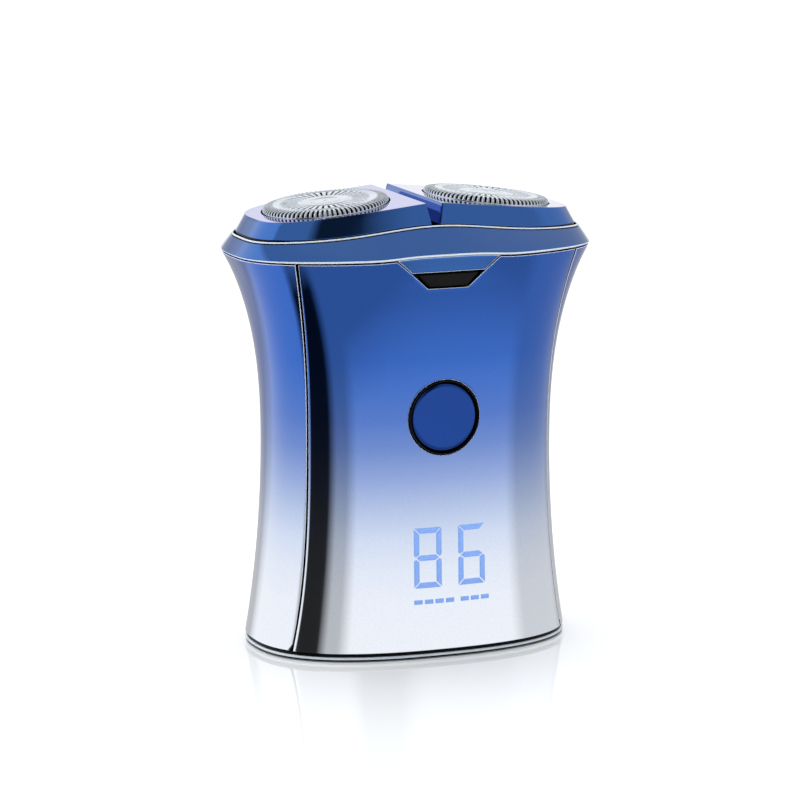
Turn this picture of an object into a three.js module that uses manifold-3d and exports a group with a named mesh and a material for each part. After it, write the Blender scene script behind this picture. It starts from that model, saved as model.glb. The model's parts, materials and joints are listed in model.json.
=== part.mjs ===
// Pocket rotary shaver: a waisted two-shell body with a flip-open head that carries two tilting foils.
// Millimetres. X points right, -Y is the front, +Z is up. The origin is the middle of the underside.
import * as THREE from "three";
import { mergeVertices } from "three/addons/utils/BufferGeometryUtils.js";
import Module from "manifold-3d";

const GAP = 0.3; // clearance between pieces that touch
const SIDES = [
  ["left", -1],
  ["right", 1],
];

// Body: a superellipse at each height, with its half width and half depth eased between three levels.
const BASE = { z: 0, halfWidth: 28, halfDepth: 18.45, widthSlope: -0.182, depthSlope: -0.071 };
const WAIST = { z: 35.1, halfWidth: 24.8, halfDepth: 17.2, widthSlope: 0, depthSlope: 0 };
const RIM = { z: 67.9, halfWidth: 31.6, halfDepth: 19.35, widthSlope: 0.543, depthSlope: 0.164 };
const BASE_SQUARENESS = 2.45;
const RIM_SQUARENESS = 2.65;
const WALL = 1.6;
const OUTLINE_SEGMENTS = 44;
const INNER_SEGMENTS = 28;
const BASE_PLATE_TOP = 1.15;
const SHELL_BOTTOM = BASE_PLATE_TOP + GAP;
const SHELL_TOP = RIM.z - GAP / 2;
const SHELL_LEVELS = [SHELL_BOTTOM, 12, 24, 35, 45, 54, 62, SHELL_TOP];

// The joint between the front and rear shells: its Y at the bottom, the waist and the rim.
const SEAM_Y = { bottom: -10.2, waist: -9.1, rim: -13.6 };

// Head: a chamfered frame, then two pods that rise out of it to outward-sloping tops.
const HEAD_BOTTOM = RIM.z + GAP / 2;
const FRAME_TOP = { halfWidth: 30.1, halfDepth: 13.85, squareness: 3.2 };
const FRAME_TOP_Z = 70.75;
const FRAME_CREST = { height: 1.85, spread: 14 };
const FRAME_OPENING = { halfWidth: 29.6, halfDepth: 13.3, squareness: 3.2 };
const POD_FOOT = { halfWidth: 29.3, halfDepth: 13, squareness: 3.2 };
const POD_TOP = { halfWidth: 27.7, halfDepth: 12.3, squareness: 3.3 };
const POD_FOOT_Z = 69.7;
const POD_TOP_Z = 76.6; // where the two sloping tops would meet over the middle
const POD_SLOPE = 0.12;
const POD_WALL = 1.4;
const POD_SPLIT = { lowX: 0.9, lowZ: 72.6, highX: 1.6, highZ: 76.4 };
const POD_PIVOT = { x: 3.9, z: 70.2, pinRadius: 0.6, lugRadius: 1.3 };

// Foil and cutter, measured along the pod's own sloping axis from the plane of the pod's top.
const TILT = Math.atan(POD_SLOPE);
const FOIL_X = 14.6;
const FOIL_RADIUS = 11.05;
const FOIL_BORE = FOIL_RADIUS + 0.25;
const FOIL_FLANGE = 11.5;
const FOIL_HEIGHT = 1.4;
const FOIL_OUTER_SLOTS = 24;
const FOIL_INNER_SLOTS = 12;
const CUTTER_RADIUS = 9.9;
const CUTTER_BLADES = 12;
const HUB_RADIUS = 3.6;
const HUB_BOTTOM = -6;
const SOCKET_RADIUS = 2.7;

// Drive: one ten-tooth pinion turns two thirty-tooth gears.
const MODULE = 0.7;
const PINION_TEETH = 10;
const GEAR_TEETH = 30;
const DRIVE_X = (MODULE * (PINION_TEETH + GEAR_TEETH)) / 2;
const GEAR_Z = [59.5, 62.3];
const PRESSURE_ANGLE = THREE.MathUtils.degToRad(25);
const ADDENDUM = 0.8;
const DEDENDUM = 1;
const BACKLASH = 0.1; // taken off each flank
const SPINDLE_RADIUS = 1.3;
const SPINDLE_TIP = { low: 68.9, high: 71, lowRadius: 1.9, highRadius: 1.5 };
const MOTOR = { radius: 10, halfDepth: 7.5, low: 29, high: 54, shaftRadius: 1, shaftTop: 63.6 };
const GEAR_PLATE_Z = [56, 57.6];
const DECK_Z = [64.7, 66.1];
const DECK_SCREW = { x: 5, y: 13, radius: 0.7, headRadius: 1.4 };
const SEAL_RADIUS = 3.2;

// Flip hinge across the back of the rim.
const HINGE = { y: 20.6, z: 67.9, pinRadius: 0.75, lugRadius: 1.9, headHalf: 4.6, bodyIn: 4.9, bodyOut: 9 };

// Carrier plate under the head, which holds the pod pivots and the latch hook.
const CARRIER_Z = [66.7, 67.7];
const CARRIER = { halfWidth: 28.8, halfDepth: 16.6, squareness: 2.8 };
const CARRIER_SCREW = { x: 12, y: 15, radius: 0.7, headRadius: 1.5 };

// Latch notch in the front shell: half widths at its top and foot.
const NOTCH = { topHalf: 9.5, topZ: 67.9, footHalf: 3.6, footZ: 63.1 };
const TONGUE_FOOT_Z = 65.9;
const RELEASE = { topHalf: 5.6, topZ: 65.6, footHalf: 3.4, footZ: 63.4, faceY: -18.75, thickness: 1.2 };

const BUTTON = { z: 41, radius: 5.7, ringInner: 5.95, ringOuter: 6.6, faceY: -17.65 };
const BOARD = { y: -12, thickness: 1.1, halfWidth: 15, low: 6, high: 50 };
const BATTERY = { radius: 7, halfLength: 20, y: 1.5, z: 13.5 };
const PORT = { y: 12.2, halfWidth: 4.47, halfDepth: 1.6, wall: 0.35, low: 0.3, high: 7.3 };
const BASE_SCREW_X = 20;

const wasm = await Module();
wasm.setup();

// ---- solids ----

function toSolid(geometry) {
  const bare = new THREE.BufferGeometry();
  bare.setAttribute("position", geometry.attributes.position);
  bare.setIndex(geometry.index);
  const merged = mergeVertices(bare, 1e-4);
  const corners = merged.index.array;
  const triVerts = [];
  for (let i = 0; i < corners.length; i += 3) {
    const [a, b, c] = corners.slice(i, i + 3);
    if (a !== b && b !== c && c !== a) triVerts.push(a, b, c);
  }
  const vertProperties = merged.attributes.position.array;
  return new wasm.Manifold(
    new wasm.Mesh({ numProp: 3, vertProperties, triVerts: new Uint32Array(triVerts) }),
  );
}

function toGeometry(solid) {
  const mesh = solid.getMesh();
  const geometry = new THREE.BufferGeometry();
  geometry.setAttribute("position", new THREE.BufferAttribute(mesh.vertProperties, 3));
  geometry.setIndex(new THREE.BufferAttribute(mesh.triVerts, 1));
  return geometry;
}

const combine = (operation, first, rest) =>
  toGeometry(rest.reduce((solid, other) => solid[operation](toSolid(other)), toSolid(first)));
const join = (first, ...rest) => combine("add", first, rest);
const cut = (first, ...rest) => combine("subtract", first, rest);
const common = (first, ...rest) => combine("intersect", first, rest);

// ---- shapes ----

function box([x0, x1], [y0, y1], [z0, z1]) {
  const geometry = new THREE.BoxGeometry(x1 - x0, y1 - y0, z1 - z0);
  return geometry.translate((x0 + x1) / 2, (y0 + y1) / 2, (z0 + z1) / 2);
}

// An upright round bar or cone.
function bar(radius, [z0, z1], { x = 0, y = 0, sides = 16, topRadius = radius } = {}) {
  const geometry = new THREE.CylinderGeometry(topRadius, radius, z1 - z0, sides);
  return geometry.rotateX(Math.PI / 2).translate(x, y, (z0 + z1) / 2);
}

const barAlongX = (radius, [x0, x1], y, z, sides = 16) =>
  bar(radius, [x0, x1], { sides }).rotateY(Math.PI / 2).translate(0, y, z);
const barAlongY = (radius, [y0, y1], x, z, sides = 16) =>
  bar(radius, [-y1, -y0], { sides }).rotateX(Math.PI / 2).translate(x, 0, z);

const shapeOf = (points) => new THREE.Shape(points.map(([u, v]) => new THREE.Vector2(u, v)));

// An outline in X and Y, raised from z0 to z1.
function prism(points, [z0, z1]) {
  const options = { depth: z1 - z0, bevelEnabled: false };
  return new THREE.ExtrudeGeometry(shapeOf(points), options).translate(0, 0, z0);
}

// An outline in Y and Z, stretched along X.
function sidePrism(points, [x0, x1]) {
  const toSide = new THREE.Matrix4().makeBasis(
    new THREE.Vector3(0, 1, 0),
    new THREE.Vector3(0, 0, 1),
    new THREE.Vector3(1, 0, 0),
  );
  return prism(points, [x0, x1]).applyMatrix4(toSide);
}

// An outline in X and Z, stretched along Y.
const frontPrism = (points, [y0, y1]) => prism(points, [-y1, -y0]).rotateX(Math.PI / 2);

// A profile of radius and height, turned about Z.
function turned(profile, segments = 32) {
  const points = profile.map(([radius, z]) => new THREE.Vector2(radius, z));
  return new THREE.LatheGeometry(points, segments).rotateX(Math.PI / 2);
}

const squircle = (value, squareness) => Math.sign(value) * Math.abs(value) ** (2 / squareness);

// A stack of superellipse outlines; a level's z may depend on X.
function loft(levels, segments = OUTLINE_SEGMENTS) {
  const bands = levels.length - 1;
  const geometry = new THREE.CylinderGeometry(1, 1, bands, segments, bands);
  geometry.rotateX(Math.PI / 2).translate(0, 0, bands / 2);
  const position = geometry.attributes.position;
  for (let i = 0; i < position.count; i += 1) {
    const { halfWidth, halfDepth, squareness, z } = levels[Math.round(position.getZ(i))];
    const x = halfWidth * squircle(position.getX(i), squareness);
    const y = halfDepth * squircle(position.getY(i), squareness);
    position.setXYZ(i, x, y, typeof z === "function" ? z(x) : z);
  }
  return geometry;
}

const slab = (outline, [z0, z1]) =>
  loft([{ ...outline, z: z0 }, { ...outline, z: z1 }], INNER_SEGMENTS);

class Helix extends THREE.Curve {
  constructor(radius, length, turns) {
    super();
    Object.assign(this, { radius, length, turns });
  }

  getPoint(t, target = new THREE.Vector3()) {
    const angle = 2 * Math.PI * this.turns * t;
    return target.set(this.radius * Math.cos(angle), this.radius * Math.sin(angle), this.length * t);
  }
}

// A coil spring standing on z = 0.
function spring(radius, wire, length, turns) {
  const section = new THREE.Shape().absarc(0, 0, wire / 2, 0, 2 * Math.PI);
  const extrudePath = new Helix(radius, length - wire, turns);
  const options = { steps: 8 * turns, extrudePath, curveSegments: 3 };
  return new THREE.ExtrudeGeometry(section, options).translate(0, 0, wire / 2);
}

// A screw with its head down, pointing up, with the head's face on z = 0.
const screw = (radius, headRadius, headHeight, length) =>
  cut(
    join(bar(headRadius, [0, headHeight], { sides: 12 }), bar(radius, [headHeight / 2, length], { sides: 8 })),
    box([-2, 2], [-0.2, 0.2], [-1, headHeight * 0.4]),
  );

// ---- the body's outline ----

function hermite(z, low, high, key, slopeKey) {
  const span = high.z - low.z;
  const t = (z - low.z) / span;
  const blend = t * t * (3 - 2 * t);
  const leave = t * (1 - t) * (1 - t) * span * low[slopeKey];
  const arrive = t * t * (t - 1) * span * high[slopeKey];
  return low[key] + (high[key] - low[key]) * blend + leave + arrive;
}

function bodySection(z, inset = 0) {
  const [low, high] = z < WAIST.z ? [BASE, WAIST] : [WAIST, RIM];
  return {
    halfWidth: hermite(z, low, high, "halfWidth", "widthSlope") - inset,
    halfDepth: hermite(z, low, high, "halfDepth", "depthSlope") - inset,
    squareness: BASE_SQUARENESS + ((RIM_SQUARENESS - BASE_SQUARENESS) * z) / RIM.z,
    z,
  };
}

const bodyLoft = (heights, inset = 0) => loft(heights.map((z) => bodySection(z, inset)));

function bodyWall() {
  const inner = [SHELL_LEVELS[0] - 1, ...SHELL_LEVELS.slice(1, -1), SHELL_TOP + 1];
  const cavity = inner.map((z) => ({ ...bodySection(Math.min(Math.max(z, 0), RIM.z), WALL), z }));
  return cut(bodyLoft(SHELL_LEVELS), loft(cavity));
}

// Y of the seam between the shells: a parabola through its three given places.
function seamY(z) {
  const [z0, z1, z2] = [BASE.z, WAIST.z, RIM.z];
  const low = (SEAM_Y.bottom * (z - z1) * (z - z2)) / ((z0 - z1) * (z0 - z2));
  const middle = (SEAM_Y.waist * (z - z0) * (z - z2)) / ((z1 - z0) * (z1 - z2));
  const high = (SEAM_Y.rim * (z - z0) * (z - z1)) / ((z2 - z0) * (z2 - z1));
  return low + middle + high;
}

// Everything on the front (-1) or rear (1) side of the seam.
function seamSide(side) {
  const heights = [-1, ...SHELL_LEVELS, RIM.z + 1];
  const edge = heights.map((z) => [seamY(z) + (side * GAP) / 2, z]);
  const far = side * 40;
  const outline = [[far, heights[0]], ...edge, [far, heights.at(-1)]];
  return sidePrism(side < 0 ? outline : outline.reverse(), [-40, 40]);
}

const notchHalf = (z) =>
  NOTCH.footHalf + ((NOTCH.topHalf - NOTCH.footHalf) * (z - NOTCH.footZ)) / (NOTCH.topZ - NOTCH.footZ);

// A trapezoid in X and Z, even about the middle.
const trapezoid = (lowHalf, lowZ, highHalf, highZ) => [
  [-lowHalf, lowZ],
  [lowHalf, lowZ],
  [highHalf, highZ],
  [-highHalf, highZ],
];

// ---- hinge ----

const hingeBar = (radius, span, sides) => barAlongX(radius, span, HINGE.y, HINGE.z, sides);

// A lug round the hinge axis, with a web whose outline is given in Y and Z.
const hingeLug = (web, span) => join(hingeBar(HINGE.lugRadius, span), sidePrism(web, span));

const BODY_WEB = [
  [18, 60.8],
  [18.9, 60.8],
  [22.3, 67.2],
  [20.6, 67.75],
  [18, 67.6],
];
const HEAD_WEB = [
  [16, 68.1],
  [20.6, 68.1],
  [22.35, 68.5],
  [21.4, 69.6],
  [17.5, 70.4],
  [16, 70.4],
];

// ---- body pieces ----

function frontShell() {
  const notch = trapezoid(notchHalf(NOTCH.footZ), NOTCH.footZ, notchHalf(RIM.z + 1), RIM.z + 1);
  return cut(
    common(bodyWall(), seamSide(-1)),
    frontPrism(notch, [-25, -12]),
    barAlongY(BUTTON.ringOuter + GAP, [-25, -12], 0, BUTTON.z, 32),
  );
}

function rearShell() {
  const lugs = SIDES.map(([, side]) => {
    const span = [side * HINGE.bodyIn, side * HINGE.bodyOut].sort((a, b) => a - b);
    return hingeLug(BODY_WEB, span);
  });
  const headClearance = HINGE.headHalf + GAP;
  return cut(
    join(common(bodyWall(), seamSide(1)), ...lugs),
    hingeBar(HINGE.lugRadius + GAP, [-headClearance, headClearance]),
    hingeBar(HINGE.pinRadius + GAP, [-HINGE.bodyOut - 1, HINGE.bodyOut + 1]),
  );
}

function basePlate() {
  const edge = [
    { ...bodySection(0, 0.7), z: 0 },
    { ...bodySection(0, 0.15), z: 0.45 },
    { ...bodySection(0, 0.1), z: BASE_PLATE_TOP },
  ];
  const plug = slab(bodySection(2.8, WALL + GAP + 0.1), [BASE_PLATE_TOP - 0.2, 2.8]);
  const inside = slab(bodySection(2.8, WALL + GAP + 1.3), [BASE_PLATE_TOP + 0.2, 4]);
  const screwHoles = SIDES.flatMap(([, side]) => [
    bar(1.1, [-1, 4], { x: side * BASE_SCREW_X, sides: 10 }),
    bar(1.9, [-1, 0.8], { x: side * BASE_SCREW_X }),
  ]);
  return cut(join(loft(edge), plug), inside, ...screwHoles, portBlock(GAP, [-1, 4]));
}

// ---- inside the body ----

// A block the size of the port, grown by a margin.
const portBlock = (margin, heights) =>
  box(
    [-PORT.halfWidth - margin, PORT.halfWidth + margin],
    [PORT.y - PORT.halfDepth - margin, PORT.y + PORT.halfDepth + margin],
    heights,
  );

function chassis() {
  const backPlate = box([-15, 15], [9.6, 11], [9, 55.7]);
  const floor = box([-22.5, 22.5], [-9, 9.2], [3.4, 4.8]);
  const floorRib = box([-15, 15], [8.9, 10.2], [3.4, 12]);
  const shelf = box([-16, 16], [-9, 10], [22.2, 23.6]);
  const ends = SIDES.map(([, side]) =>
    box([side * 21.9 - 0.6, side * 21.9 + 0.6], [-6, 6], [4, 17]),
  );
  const arms = SIDES.map(([, side]) => box([side * 13 - 1, side * 13 + 1], [-10.4, 10], [23, 27.5]));
  const screwHoles = SIDES.map(([, side]) => bar(1, [2, 6], { x: side * BASE_SCREW_X, sides: 10 }));
  const portRoom = portBlock(1, [0, 8]);
  return cut(join(backPlate, floor, floorRib, shelf, ...ends, ...arms), ...screwHoles, portRoom);
}

function battery() {
  const { radius, halfLength, y, z } = BATTERY;
  const can = barAlongX(radius, [-halfLength, halfLength - 0.8], y, z, 32);
  return join(can, barAlongX(2.4, [halfLength - 1, halfLength + 0.4], y, z));
}

function circuitBoard() {
  const { y, thickness, halfWidth, low, high } = BOARD;
  const holes = SIDES.flatMap(([, side]) =>
    [low + 3, high - 3].map((z) => barAlongY(1.1, [y - 2, y + 3], side * (halfWidth - 3), z, 16)),
  );
  return cut(box([-halfWidth, halfWidth], [y, y + thickness], [low, high]), ...holes);
}

const displayModule = () =>
  join(
    box([-9.5, 9.5], [-14.4, BOARD.y - GAP], [9.2, 25.4]),
    box([-8, 8], [-14.9, -14.2], [11, 23.8]),
  );

const tactSwitch = () =>
  cut(box([-3, 3], [-13.7, BOARD.y - GAP], [BUTTON.z - 3, BUTTON.z + 3]), tactBar(1.5, [-15, -12.5]));

const tactBar = (radius, span) => barAlongY(radius, span, 0, BUTTON.z, 16);

// Turned about Z from the given profile, then laid along Y through the button's centre, face to -Y.
const buttonTurned = (profile) => turned(profile).rotateX(Math.PI / 2).translate(0, 0, BUTTON.z);

function powerButton() {
  const face = -BUTTON.faceY;
  return buttonTurned([
    [0, 14.8],
    [1.5, 14.8],
    [1.5, 15.9],
    [BUTTON.radius, 15.9],
    [BUTTON.radius, face - 0.25],
    [BUTTON.radius - 0.3, face],
    [BUTTON.radius * 0.6, face - 0.25],
    [0, face - 0.4],
  ]);
}

function powerButtonRing() {
  const face = -BUTTON.faceY + 0.1;
  return buttonTurned([
    [BUTTON.ringInner, 14.8],
    [BUTTON.ringOuter + 1.4, 14.8],
    [BUTTON.ringOuter + 1.4, 15.25],
    [BUTTON.ringOuter, 15.25],
    [BUTTON.ringOuter, face - 0.2],
    [BUTTON.ringOuter - 0.2, face],
    [BUTTON.ringInner + 0.15, face],
    [BUTTON.ringInner, face - 0.15],
    [BUTTON.ringInner, 14.8],
  ]);
}

// The release button's face plate, its slide, and the lip that the head's hook snaps under.
function releaseButton() {
  const plate = trapezoid(RELEASE.footHalf, RELEASE.footZ, RELEASE.topHalf, RELEASE.topZ);
  return join(
    frontPrism(plate, [RELEASE.faceY, RELEASE.faceY + RELEASE.thickness]),
    box([-2.6, 2.6], [-17.8, -11.9], [63.5, 64.4]),
    box([-1.6, 1.6], [-12.6, -11.9], [62.2, 64]),
    box([-1.8, 1.8], [-14.7, -13.7], [64, 66.4]),
    box([-1.8, 1.8], [-15, -14.2], [65.9, 66.4]),
  );
}

const releaseSpring = () => spring(0.8, 0.35, 3.9, 4).rotateX(-Math.PI / 2).translate(0, -11.5, 63.3);

function topDeck() {
  const plate = slab(bodySection(DECK_Z[0], WALL + GAP), DECK_Z);
  const stop = box([-2.4, 2.4], [-7.2, -6.2], [62, DECK_Z[0] + 0.3]);
  const bearings = SIDES.flatMap(([, side]) => [
    bar(2.1, [64, 67], { x: side * DRIVE_X }),
    bar(SEAL_RADIUS + GAP, [DECK_Z[0] + 0.5, 67], { x: side * DRIVE_X }),
  ]);
  const latchSlot = box([-3.2, 3.2], [-20, -12], [64, 67]);
  const frontSlot = box([-10, 10], [-20, -16.2], [64, 67]);
  const screwHoles = deckScrewPlaces().flatMap(({ x, y }) => [
    bar(DECK_SCREW.radius + GAP, [64, 67], { x, y, sides: 10 }),
    bar(DECK_SCREW.headRadius + GAP, [DECK_Z[1] - 0.7, 67], { x, y }),
  ]);
  return cut(join(plate, stop), ...bearings, latchSlot, frontSlot, ...screwHoles);
}

const deckScrewPlaces = () =>
  [-1, 1].flatMap((ySign) => SIDES.map(([, side]) => ({ x: side * DECK_SCREW.x, y: ySign * DECK_SCREW.y })));

function gearPlate() {
  const plate = slab(bodySection(GEAR_PLATE_Z[0], WALL + GAP + 0.4), GEAR_PLATE_Z);
  const posts = deckScrewPlaces().map(({ x, y }) => bar(1.8, [57, DECK_Z[0] - GAP], { x, y }));
  const postHoles = deckScrewPlaces().map(({ x, y }) =>
    bar(DECK_SCREW.radius + GAP, [58.6, 66], { x, y, sides: 10 }),
  );
  const bearings = SIDES.map(([, side]) => bar(SPINDLE_RADIUS + GAP, [55, 58], { x: side * DRIVE_X }));
  return cut(join(plate, ...posts), ...postHoles, ...bearings, bar(3.4, [55, 58]));
}

const motorCan = () =>
  cut(
    join(
      common(
        bar(MOTOR.radius, [MOTOR.low, MOTOR.high], { sides: 40 }),
        box([-12, 12], [-MOTOR.halfDepth, MOTOR.halfDepth], [0, 80]),
      ),
      bar(3, [MOTOR.high - 0.5, MOTOR.high + 1.4]),
    ),
    bar(MOTOR.shaftRadius + GAP, [MOTOR.low - 1, MOTOR.high + 2]),
  );

const motorEndCap = () =>
  join(
    common(
      bar(MOTOR.radius - 0.3, [MOTOR.low - 2, MOTOR.low - GAP], { sides: 40 }),
      box([-12, 12], [-7.2, 7.2], [0, 80]),
    ),
    ...SIDES.map(([, side]) => box([side * 5 - 0.9, side * 5 + 0.9], [6, 8.2], [27.3, 28])),
  );

const motorShaft = () => bar(MOTOR.shaftRadius, [MOTOR.low + 0.5, MOTOR.shaftTop], { sides: 10 });

// ---- gears ----

const involute = (angle) => Math.tan(angle) - angle;

// Half the angle that a tooth spans at a given radius.
function toothHalfAngle(teeth, radius) {
  const pitchRadius = (MODULE * teeth) / 2;
  const baseRadius = pitchRadius * Math.cos(PRESSURE_ANGLE);
  const pressure = Math.acos(Math.min(1, baseRadius / radius));
  const atPitch = Math.PI / (2 * teeth) - BACKLASH / pitchRadius;
  return atPitch + involute(PRESSURE_ANGLE) - involute(pressure);
}

function gear(teeth, [z0, z1], bore, firstTooth) {
  const pitchRadius = (MODULE * teeth) / 2;
  const radii = [pitchRadius - DEDENDUM * MODULE, pitchRadius, pitchRadius + ADDENDUM * MODULE];
  const outline = [];
  for (let tooth = 0; tooth < teeth; tooth += 1) {
    const middle = firstTooth + (2 * Math.PI * tooth) / teeth;
    const rising = radii.map((radius) => [radius, middle - toothHalfAngle(teeth, radius)]);
    const falling = radii.map((radius) => [radius, middle + toothHalfAngle(teeth, radius)]).reverse();
    const corners = [...rising, ...falling];
    outline.push(...corners.map(([radius, angle]) => [radius * Math.cos(angle), radius * Math.sin(angle)]));
  }
  return cut(prism(outline, [z0, z1]), bar(bore, [z0 - 1, z1 + 1], { sides: 20 }));
}

const pinion = () => gear(PINION_TEETH, [59.2, 62.6], MOTOR.shaftRadius + GAP, 0);

// A driven gear about its own axis, with a hub; half a pitch of turn meshes it with the pinion.
function drivenGear() {
  const bore = bar(SPINDLE_RADIUS + GAP, [55, 70], { sides: 20 });
  const hub = bar(3, [GEAR_Z[1] - 0.4, GEAR_Z[1] + 1.2]);
  return cut(join(gear(GEAR_TEETH, GEAR_Z, SPINDLE_RADIUS + GAP, Math.PI / GEAR_TEETH), hub), bore);
}

// A spindle: foot journal, collar under the gear, neck and six-sided driving tip.
const spindle = () =>
  join(
    bar(SPINDLE_RADIUS, [56.2, SPINDLE_TIP.low + 0.2], { sides: 20 }),
    bar(2.2, [57.9, 59.2]),
    bar(SPINDLE_TIP.lowRadius, [SPINDLE_TIP.low, SPINDLE_TIP.high], {
      sides: 6,
      topRadius: SPINDLE_TIP.highRadius,
    }),
    bar(SPINDLE_RADIUS, [SPINDLE_TIP.low - 0.6, SPINDLE_TIP.low + 0.05], {
      sides: 20,
      topRadius: SPINDLE_TIP.lowRadius * 0.85,
    }),
  );

const spindleSeal = () =>
  cut(bar(SEAL_RADIUS, [DECK_Z[0] + 0.8, DECK_Z[1] + 0.4]), bar(SPINDLE_RADIUS + GAP, [60, 70]));

// ---- head pieces ----

const frameTopZ = (x) => FRAME_TOP_Z + FRAME_CREST.height * Math.exp(-((x / FRAME_CREST.spread) ** 2));

function headFrame() {
  const rim = { ...bodySection(RIM.z), z: HEAD_BOTTOM };
  const outer = loft([rim, { ...FRAME_TOP, z: frameTopZ }], 56);
  const tongueShape = trapezoid(
    notchHalf(TONGUE_FOOT_Z) - 0.55,
    TONGUE_FOOT_Z,
    notchHalf(HEAD_BOTTOM) - 0.35,
    HEAD_BOTTOM,
  );
  const skin = [TONGUE_FOOT_Z - 1, RIM.z - 0.5].map((z) => bodySection(z));
  const skinInside = [TONGUE_FOOT_Z - 2, RIM.z - 0.5].map((z) => bodySection(z, WALL));
  const tongue = common(
    cut(loft([...skin, rim]), loft([...skinInside, { ...bodySection(RIM.z, WALL), z: HEAD_BOTTOM + 1 }])),
    frontPrism(tongueShape, [-25, -12]),
  );
  const bodyLugRooms = SIDES.map(([, side]) => {
    const span = [side * (HINGE.bodyIn - GAP), side * (HINGE.bodyOut + GAP)].sort((a, b) => a - b);
    return hingeBar(HINGE.lugRadius + GAP, span);
  });
  return cut(
    join(
      cut(outer, slab(FRAME_OPENING, [60, 80])),
      tongue,
      hingeLug(HEAD_WEB, [-HINGE.headHalf, HINGE.headHalf]),
    ),
    ...bodyLugRooms,
    hingeBar(HINGE.pinRadius + GAP, [-HINGE.bodyOut, HINGE.bodyOut]),
    ...carrierScrewPlaces().map(({ x, y }) =>
      bar(CARRIER_SCREW.radius + GAP, [67, 69.6], { x, y, sides: 10 }),
    ),
  );
}

const carrierScrewPlaces = () =>
  [-1, 1].flatMap((ySign) =>
    SIDES.map(([, side]) => ({ x: side * CARRIER_SCREW.x, y: ySign * CARRIER_SCREW.y })),
  );

// The plate that closes the head's underside, with the pod pivot lugs and the latch hook.
function cutterCarrier() {
  const lugs = SIDES.flatMap(([, side]) =>
    [-1, 1].map((ySign) => {
      const span = [ySign * 6, ySign * 7.4].sort((a, b) => a - b);
      const x = side * POD_PIVOT.x;
      return join(
        barAlongY(POD_PIVOT.lugRadius, span, x, POD_PIVOT.z, 10),
        box([x - 1.3, x + 1.3], span, [CARRIER_Z[1] - 0.3, POD_PIVOT.z]),
      );
    }),
  );
  const pinHoles = SIDES.map(([, side]) => pivotBar(POD_PIVOT.pinRadius + GAP, side, 12));
  const hook = join(
    box([-1.8, 1.8], [-16.2, -15.6], [64.9, CARRIER_Z[1]]),
    box([-1.8, 1.8], [-16.2, -15.3], [64.9, 65.5]),
  );
  const hubRooms = SIDES.map(([, side]) => bar(5.2, [60, 69], { x: side * DRIVE_X }));
  const screwRooms = carrierScrewPlaces().flatMap(({ x, y }) => [
    bar(CARRIER_SCREW.radius + GAP, [66, 69], { x, y, sides: 10 }),
    bar(CARRIER_SCREW.headRadius + GAP, [66, CARRIER_Z[1] - 0.4], { x, y }),
  ]);
  return cut(join(slab(CARRIER, CARRIER_Z), hook, ...lugs), ...pinHoles, ...hubRooms, ...screwRooms);
}

const pivotBar = (radius, side, halfLength) =>
  barAlongY(radius, [-halfLength, halfLength], side * POD_PIVOT.x, POD_PIVOT.z, 10);

const podTopZ = (drop) => (x) => POD_TOP_Z - drop - POD_SLOPE * Math.abs(x);

// Everything on one side of the split between the pods, set back by a wall.
function podHalf(side, wall) {
  const { lowX, lowZ, highX, highZ } = POD_SPLIT;
  const lean = (highX - lowX) / (highZ - lowZ);
  const low = [side * (lowX + wall), 60];
  const knee = [side * (lowX + wall), lowZ];
  const top = [side * (lowX + wall + lean * (80 - lowZ)), 80];
  const outline = [low, [side * 40, 60], [side * 40, 80], top, knee];
  return frontPrism(side > 0 ? outline : outline.reverse(), [-30, 30]);
}

const inset = (outline, by) => ({
  ...outline,
  halfWidth: outline.halfWidth - by,
  halfDepth: outline.halfDepth - by,
});

// Moves a piece from the foil's own axis to its place in a pod.
function placeOnPod(geometry, side) {
  return geometry.rotateY(side * TILT).translate(side * FOIL_X, 0, podTopZ(0)(FOIL_X));
}

function podCover(side) {
  const shoulder = (lift) => (x) => frameTopZ(x) - 0.3 - lift;
  const outer = loft([
    { ...POD_FOOT, z: POD_FOOT_Z },
    { ...POD_FOOT, z: shoulder(0) },
    { ...POD_TOP, z: podTopZ(0) },
  ]);
  const inner = loft([
    { ...inset(POD_FOOT, POD_WALL), z: POD_FOOT_Z - 3 },
    { ...inset(POD_FOOT, POD_WALL), z: shoulder(0.8) },
    { ...inset(POD_TOP, POD_WALL), z: podTopZ(POD_WALL) },
  ]);
  const shell = cut(common(outer, podHalf(side, 0)), common(inner, podHalf(side, POD_WALL)));
  const lugs = [-1, 1].map((ySign) => {
    const span = [ySign * 7.8, ySign * 9.4].sort((a, b) => a - b);
    const x = side * POD_PIVOT.x;
    return join(
      barAlongY(POD_PIVOT.lugRadius, span, x, POD_PIVOT.z, 10),
      box([x - 1.3, x + 1.3].map((v) => v - side * 0.3), span, [POD_PIVOT.z, 75]),
    );
  });
  const bore = placeOnPod(bar(FOIL_BORE, [-4, 6], { sides: 32 }), side);
  const ledge = placeOnPod(bar(FOIL_FLANGE + 0.25, [-1.7, -0.45], { sides: 32 }), side);
  return cut(join(shell, ...lugs), bore, ledge, pivotBar(POD_PIVOT.pinRadius + GAP, side, 11));
}

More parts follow.
